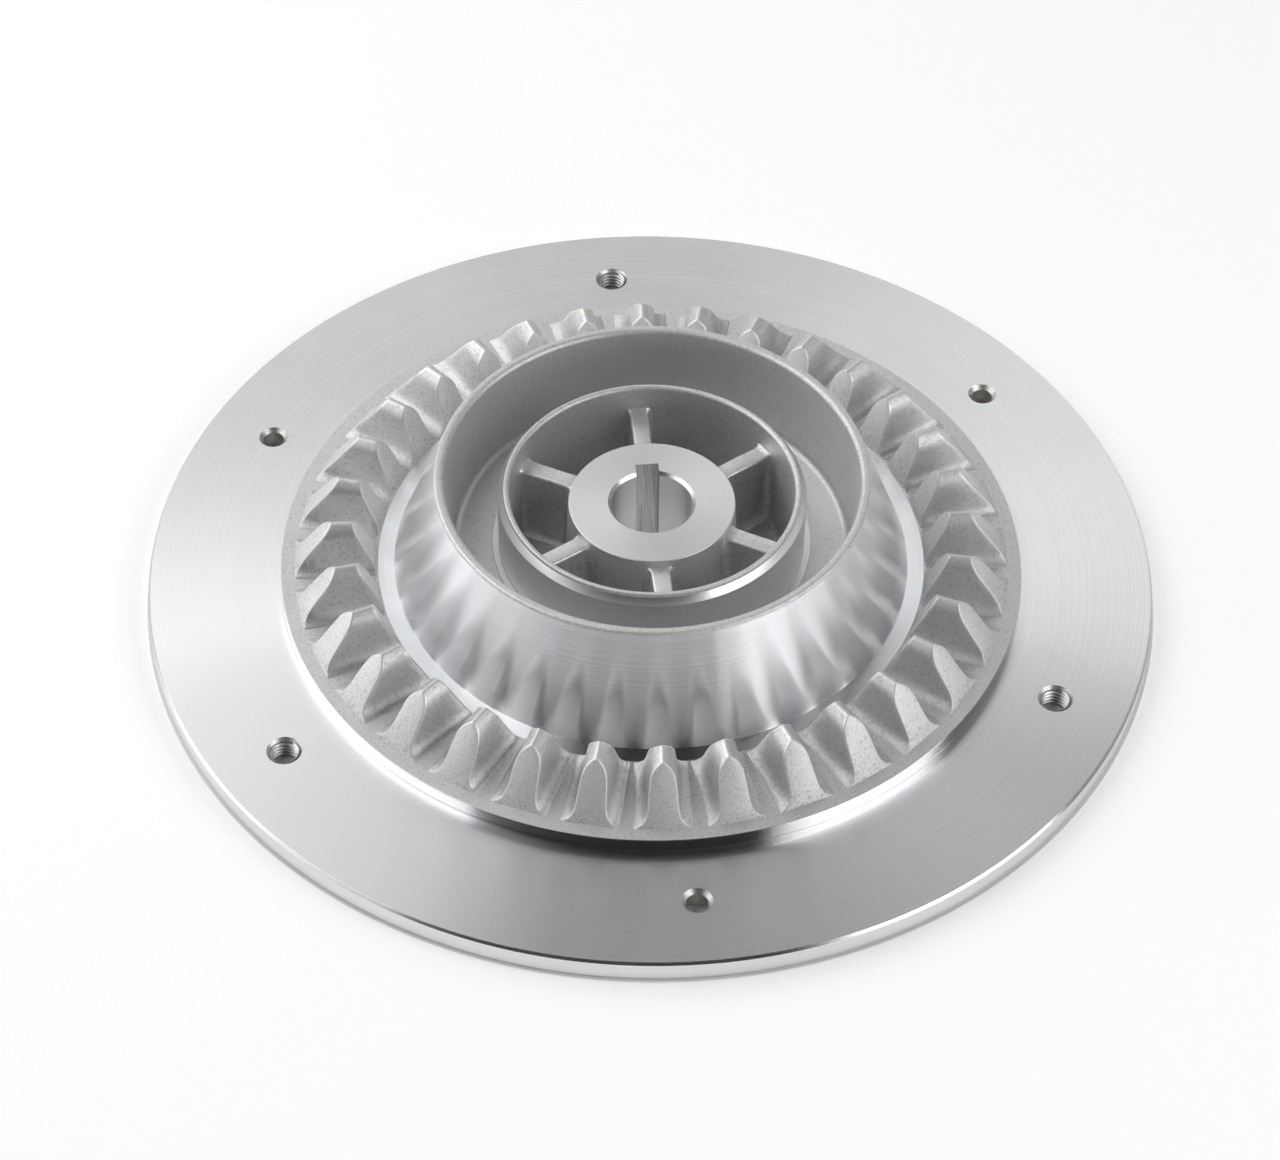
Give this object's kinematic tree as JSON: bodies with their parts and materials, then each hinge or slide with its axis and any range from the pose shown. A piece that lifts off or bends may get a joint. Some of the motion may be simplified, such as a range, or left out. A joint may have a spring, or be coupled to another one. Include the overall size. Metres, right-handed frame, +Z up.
{
  "type": "finned flange wheel",
  "caption": "Cast aluminium wheel with a flat drilled flange, a ring of pointed radial ribs, a polished cone and a spoked hub for a keyed shaft.",
  "frame": {"origin": "centre of the flat rest face under the flange, on the bore's axis", "axes": "+Z up along the bore, from the rest face to the cone's rim; +Y towards the keyway, one spoke and the first tapped hole"},
  "size_m": [0.35, 0.35, 0.0526],
  "materials": {
    "turned_plate": "finely turned, satin",
    "cast_cone": "shot-blasted casting with turned and polished bands",
    "cast_hub": "casting with turned hub face and seat",
    "screw_steel": "black oxide"
  },
  "bodies": {
    "root": {"flange_disc": "turned_plate", "finned_cone": "cast_cone", "hub_carrier": "cast_hub", "flange_screws": "screw_steel"}
  },
  "joints": []
}
